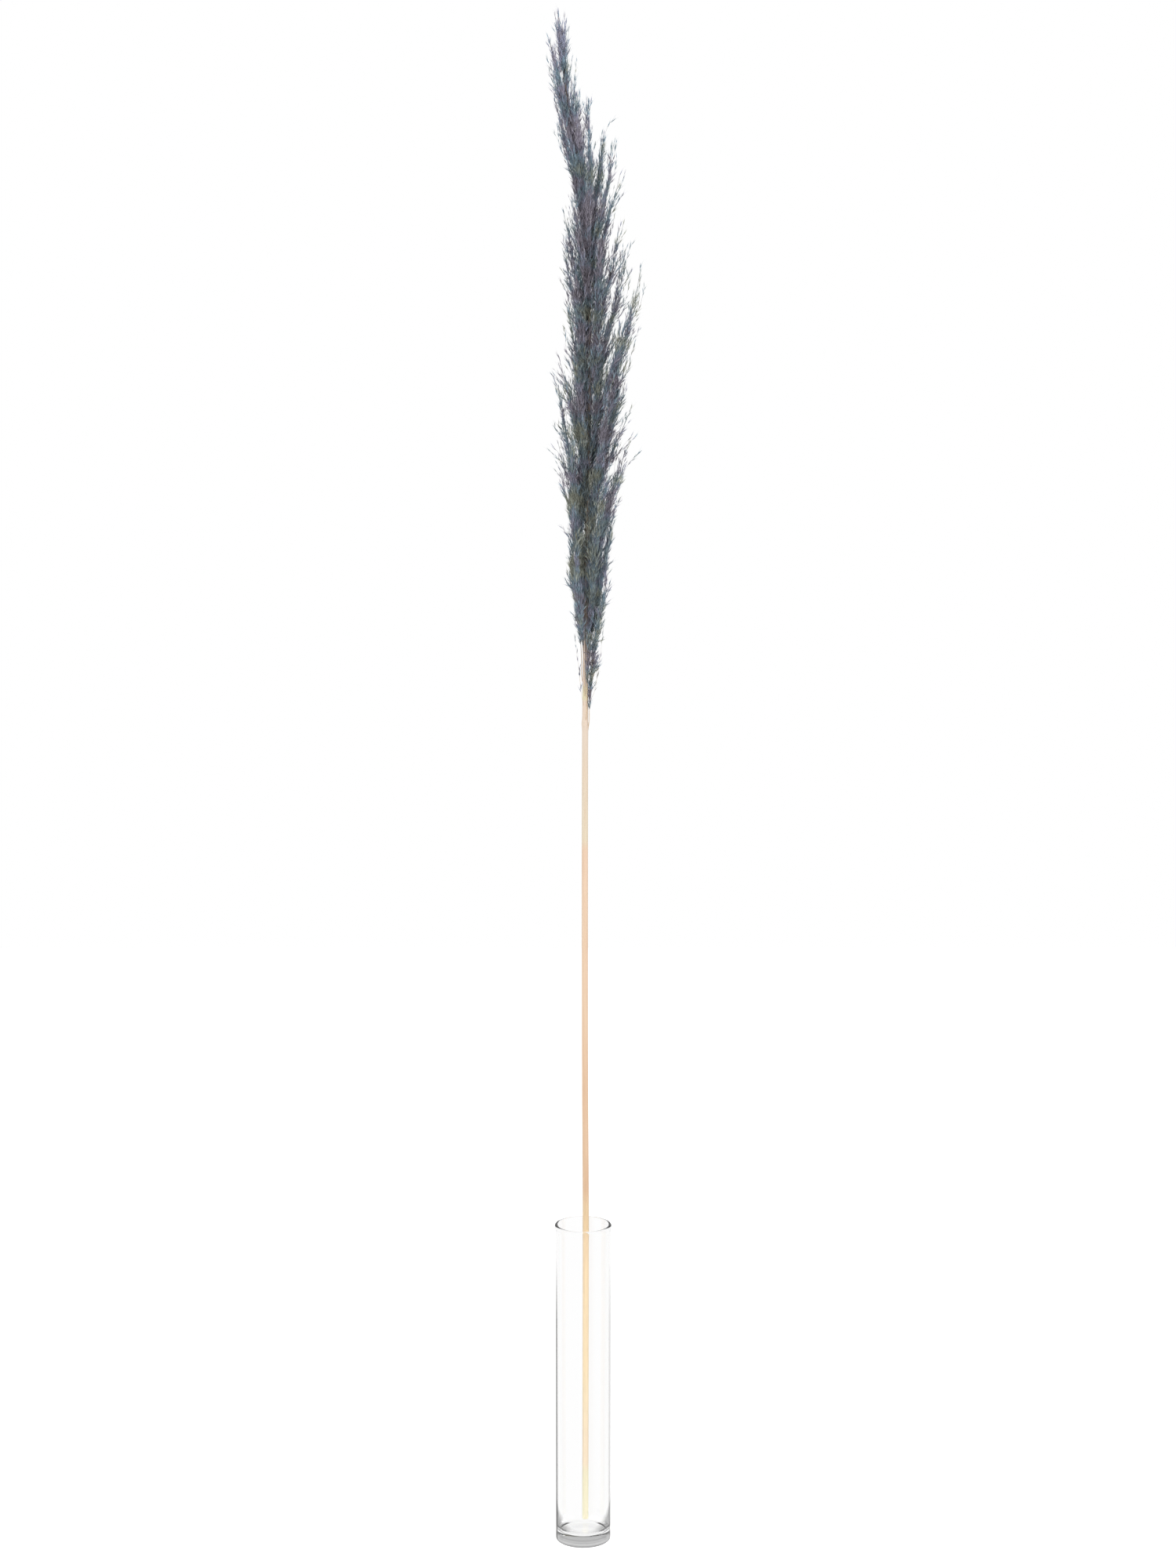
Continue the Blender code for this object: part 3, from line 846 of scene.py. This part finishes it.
def plumeMaterial():
    material, desk = newMaterial("dyedPlume")
    u, v = desk.node("ShaderNodeUVMap", {"uv_map": "OFBake"}).parts()[:2]
    cell = (u * cells["across"]).floor()
    family = (cell / cells["tones"]).floor()
    shade = (cell - family * cells["tones"]) / (cells["tones"] - 1.0)
    tone = desk.node("ShaderNodeValToRGB", {"stops": dye["tones"]}, {"Fac": shade})
    family = family / (cells["hues"] - 1.0)
    hue = desk.node("ShaderNodeValToRGB", {"stops": dye["hues"]}, {"Fac": family})
    reach, strength, colour = dye["tip"]
    tipped = mixed(desk, v.between(*reach) * strength, tone, colour)
    start, strength, colour = dye["bristle"]
    haired = mixed(desk, (v > start) * strength, tipped, colour)
    haired = mixed(desk, 1.0, haired, hue, "MULTIPLY")
    reach, bare, dark = dye["twig"]
    twig = mixed(desk, v.between(*reach), bare, dark)
    colour = mixed(desk, u > cells["twigs"] / cells["across"], haired, twig)
    least, more = dye["roughness"]
    surface = desk.node("ShaderNodeBsdfPrincipled", {}, {
        "Base Color": colour, "Roughness": least + more * v, "Specular IOR Level": dye["specular"]})
    finished(desk, surface)
    return material


def branchAxis(node):  # from inside the stem below the fork, up the CAD branch to its tip
    middles = ringLine(node, cadSides["branch"])[0]
    return [stemAt(middles[0][2] - spray["root"])[0]] + [Vector(m) for m in middles]


def whorlTwigs(fork, chance):  # short twigs that leave the stem all round the fork
    twigs = []
    most = float(np.interp(fork.z, *spray["whorlLean"]))
    for i in range(spray["whorl"]):
        turn = i + chance.uniform(-spray["whorlTurn"], spray["whorlTurn"])
        turn = 2 * math.pi * turn / spray["whorl"]
        lean = chance.triangular(spray["leastWhorlLean"], most, most)
        length = chance.uniform(*spray["whorlLength"])
        out = Vector((math.cos(turn), math.sin(turn) * spray["whorlDepth"], 0.0))
        start = fork + Vector((0, 0, chance.uniform(*spray["whorlStart"])))
        reach, rise = length * math.sin(lean), length * math.cos(lean)
        twigs.append([start + out * (spray["whorlFoot"] + reach * s * (1 + spray["whorlBow"] * s))
                      + Vector((0, 0, rise * s)) for s in spray["whorlSteps"]])
    return twigs


def guideMesh(name, mains, twigs):  # the lines that a spray grows on, small twigs marked as whorl
    lines = mains + twigs
    mesh = bpy.data.meshes.new(name)
    edges = []
    for line in lines:
        first = edges[-1][1] + 1 if edges else 0
        edges += [(first + i, first + i + 1) for i in range(len(line) - 1)]
    mesh.from_pydata([spot for line in lines for spot in line], edges, [])
    small = mesh.attributes.new("whorl", "FLOAT", "POINT")
    for i in range(sum(len(line) for line in mains), len(mesh.vertices)):
        small.data[i].value = 1.0
    # this measure paints backlight: it makes florets far out at the sides paler and teal
    aside = mesh.attributes.new("aside", "FLOAT", "POINT")  # how far out to the left or right
    for vertex, mark in zip(mesh.vertices, aside.data):
        off = abs(vertex.co.x - stemAt(vertex.co.z)[0].x) / spray["halfWidth"]
        mark.value = min(spray["mostAside"], off)
    return mesh


def makeSpray(number, node, tree, kinds, material, isLast):
    points = branchAxis(node)
    chance = random.Random(spray["seed"] + number)
    mains = [points]
    if isLast:  # this one also clothes the tip of the stem
        heights = np.linspace(spray["spikeFrom"], stemTip, spray["spikePoints"])
        mains.append([stemAt(h)[0] for h in heights])
    fork = points[1].z
    twigs = whorlTwigs(stemAt(fork)[0], chance) if fork > spray["whorlFrom"] else []
    mesh = guideMesh(f"spray{number:02d}", mains, twigs)
    piece = newPiece(mesh.name, mesh)

    def atFork(name):
        return float(np.interp(fork, *spray[name]))

    length = points[-1].z - points[0].z
    bare = (atFork("clothed") - points[0].z) / length
    steady, growth = spray["sprigGrowth"]
    sprigLength = spray["sprigLength"] * (steady + growth * (0.0 if isLast else length))
    way = spray["wisp"] if node in spray["wisps"] else spray["top"] if isLast else spray["usual"]
    values = {
        "Axis step": spray["axisStep"], "Wander": spray["wander"], "Bare share": bare,
        "Thinning": way["thinning"], "Sparse": spray["wisps"].get(node, 0.0),
        "Sprig step": way["sprigStep"], "Sprig length": sprigLength, "Curl": atFork("curl"),
        "Sprig lean low": spray["leastSprigLean"], "Sprig lean high": atFork("sprigLean"),
        "Floret step": spray["floretStep"], "Floret length": spray["floretLength"],
        "Floret lean low": spray["leastFloretLean"], "Floret lean high": atFork("floretLean"),
        "Open from": way["open"][0], "Open to": way["open"][1],
        "Twig radius": way["twig"], "Sprig radius": spray["sprigTwig"],
        "Tone": atFork("tone"), "Blush": atFork("blush"),
        "Tint": atFork("tint") + chance.uniform(-spray["tintChance"], spray["tintChance"]),
        "Seed": spray["seedStep"] * number, "Material": material,
    }
    values |= {f"Floret {i + 1}": kind for i, kind in enumerate(kinds)}
    grower = piece.modifiers.new("grown", "NODES")
    grower.node_group = tree
    for socket in tree.interface.items_tree:
        if socket.in_out == "INPUT" and socket.name in values:
            grower[socket.identifier] = values[socket.name]
    plain(piece)
    hand(piece, "plume", node)
    return len(piece.data.polygons)


def makePlume():
    tree = sprayTree()
    kinds = [floretShape(i) for i in range(floret["kinds"])]
    material = plumeMaterial()
    nodes = sorted(n for n in frame["nodes"] if n.startswith("plume_branch"))
    faces = [makeSpray(i, node, tree, kinds, material, node == nodes[-1])
             for i, node in enumerate(nodes, 1)]
    for kind in kinds:
        bpy.data.objects.remove(kind, do_unlink=True)
    print("plume grown:", len(faces), "sprays,", sum(faces), "faces, most in one", max(faces))


makePlume()
